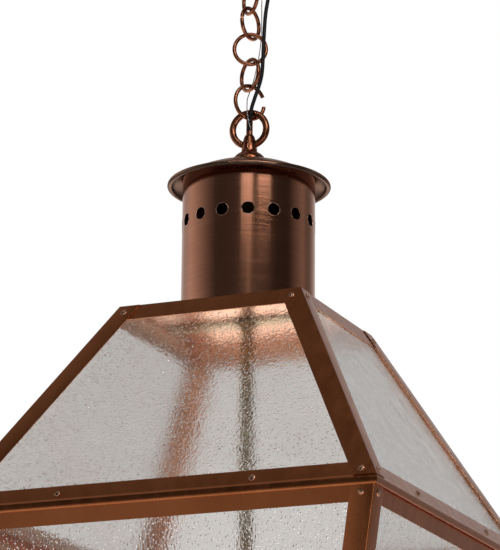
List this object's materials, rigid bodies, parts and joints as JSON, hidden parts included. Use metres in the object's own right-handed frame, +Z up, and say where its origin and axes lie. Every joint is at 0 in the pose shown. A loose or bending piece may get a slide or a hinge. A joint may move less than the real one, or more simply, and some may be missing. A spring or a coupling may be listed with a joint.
{
  "type": "hanging lantern",
  "caption": "Square tapered hanging lantern of riveted copper strip and seeded glass, with a vented chimney, domed cap and ring chain.",
  "frame": {"origin": "centre of the ceiling canopy's top face, where the lantern meets the ceiling", "axes": "+Z up the chain, out of the ceiling face; -Y towards the front pane; the glazed door is on -X"},
  "size_m": [0.6104, 0.6104, 1.398],
  "materials": {
    "antique_copper": "darkened copper strip, satin, brighter on its edges",
    "brushed_copper": "brushed copper, satin",
    "chain_copper": "copper wire, polished on its high side",
    "aged_brass": "dull brass",
    "plated_steel": "zinc plate",
    "tinned_wire": "bright tinned wire",
    "seeded_glass": "seeded sheet glass with small bubbles",
    "lamp_glass": "clear lamp glass",
    "cord_jacket": "smooth dark jacket",
    "ivory_sleeve": "candle sleeve",
    "phenolic": "moulded socket"
  },
  "bodies": {
    "canopy": {"canopy": "antique_copper", "ceiling_strap": "plated_steel", "canopy_nipple": "plated_steel", "strap_nut": "plated_steel", "canopy_loop": "chain_copper"},
    "link_6": {"chain_link_6": "chain_copper"},
    "link_5": {"chain_link_5": "chain_copper"},
    "link_4": {"chain_link_4": "chain_copper"},
    "link_3": {"chain_link_3": "chain_copper"},
    "link_2": {"chain_link_2": "chain_copper"},
    "link_1": {"chain_link_1": "chain_copper"},
    "lantern": {"body_glass_back": "seeded_glass", "body_glass_front": "seeded_glass", "body_glass_right": "seeded_glass", "body_top_frame": "antique_copper", "bottom_frame": "antique_copper", "bottom_glass": "seeded_glass", "bulb_1": "lamp_glass", "bulb_2": "lamp_glass", "bulb_3": "lamp_glass", "candle_sleeve_1": "ivory_sleeve", "candle_sleeve_2": "ivory_sleeve", "candle_sleeve_3": "ivory_sleeve", "cap": "brushed_copper", "chimney": "brushed_copper", "cluster_body": "aged_brass", "corner_post_back_left": "antique_copper", "corner_post_back_right": "antique_copper", "corner_post_front_left": "antique_copper", "corner_post_front_right": "antique_copper", "door_catch": "aged_brass", "eave_strip_back": "antique_copper", "eave_strip_front": "antique_copper", "eave_strip_left": "antique_copper", "eave_strip_right": "antique_copper", "ground_wire": "tinned_wire", "hanging_ring": "chain_copper", "hinge_pintle_lower": "aged_brass", "hinge_pintle_upper": "aged_brass", "hip_strip_back_left": "antique_copper", "hip_strip_back_right": "antique_copper", "hip_strip_front_left": "antique_copper", "hip_strip_front_right": "antique_copper", "lamp_socket_1": "phenolic", "lamp_socket_2": "phenolic", "lamp_socket_3": "phenolic", "roof_glass_back": "seeded_glass", "roof_glass_front": "seeded_glass", "roof_glass_left": "seeded_glass", "roof_glass_right": "seeded_glass", "stem": "aged_brass", "stem_nut": "aged_brass", "supply_cord": "cord_jacket", "support_bar": "aged_brass", "top_plate": "antique_copper"},
    "door": {"door_frame": "antique_copper", "door_glass": "seeded_glass", "hinge_knuckle_upper": "aged_brass", "hinge_knuckle_lower": "aged_brass", "door_knob": "aged_brass"}
  },
  "joints": [
    {"name": "link_6_swing", "type": "hinge", "parent": "canopy", "child": "link_6", "pos_m": [0, 0, -0.0845], "axis": [0.866, -0.5, 0], "range_deg": [-12, 12], "deforming": ["supply_cord", "ground_wire"]},
    {"name": "link_5_swing", "type": "hinge", "parent": "link_6", "child": "link_5", "pos_m": [0, 0, -0.1229], "axis": [0.6428, 0.766, 0], "range_deg": [-12, 12], "deforming": ["supply_cord", "ground_wire"]},
    {"name": "link_4_swing", "type": "hinge", "parent": "link_5", "child": "link_4", "pos_m": [0, 0, -0.1619], "axis": [0.7547, -0.6561, 0], "range_deg": [-12, 12], "deforming": ["supply_cord", "ground_wire"]},
    {"name": "link_3_swing", "type": "hinge", "parent": "link_4", "child": "link_3", "pos_m": [0, 0, -0.2009], "axis": [0.1564, 0.9877, 0], "range_deg": [-12, 12], "deforming": ["supply_cord", "ground_wire"]},
    {"name": "link_2_swing", "type": "hinge", "parent": "link_3", "child": "link_2", "pos_m": [0, 0, -0.2399], "axis": [0.9205, 0.3907, 0], "range_deg": [-12, 12], "deforming": ["supply_cord", "ground_wire"]},
    {"name": "link_1_swing", "type": "hinge", "parent": "link_2", "child": "link_1", "pos_m": [0, 0, -0.2789], "axis": [0.8191, -0.5736, 0], "range_deg": [-12, 12], "deforming": ["supply_cord", "ground_wire"]},
    {"name": "lantern_swing", "type": "hinge", "parent": "link_1", "child": "lantern", "pos_m": [0, 0, -0.3219], "axis": [0.6428, 0.766, 0], "range_deg": [-12, 12], "deforming": ["supply_cord", "ground_wire"]},
    {"name": "door_swing", "type": "hinge", "parent": "lantern", "child": "door", "pos_m": [-0.25008, 0.21295, -1.16248], "axis": [0.2234, -0.2234, -0.9488], "range_deg": [0, 100]}
  ]
}
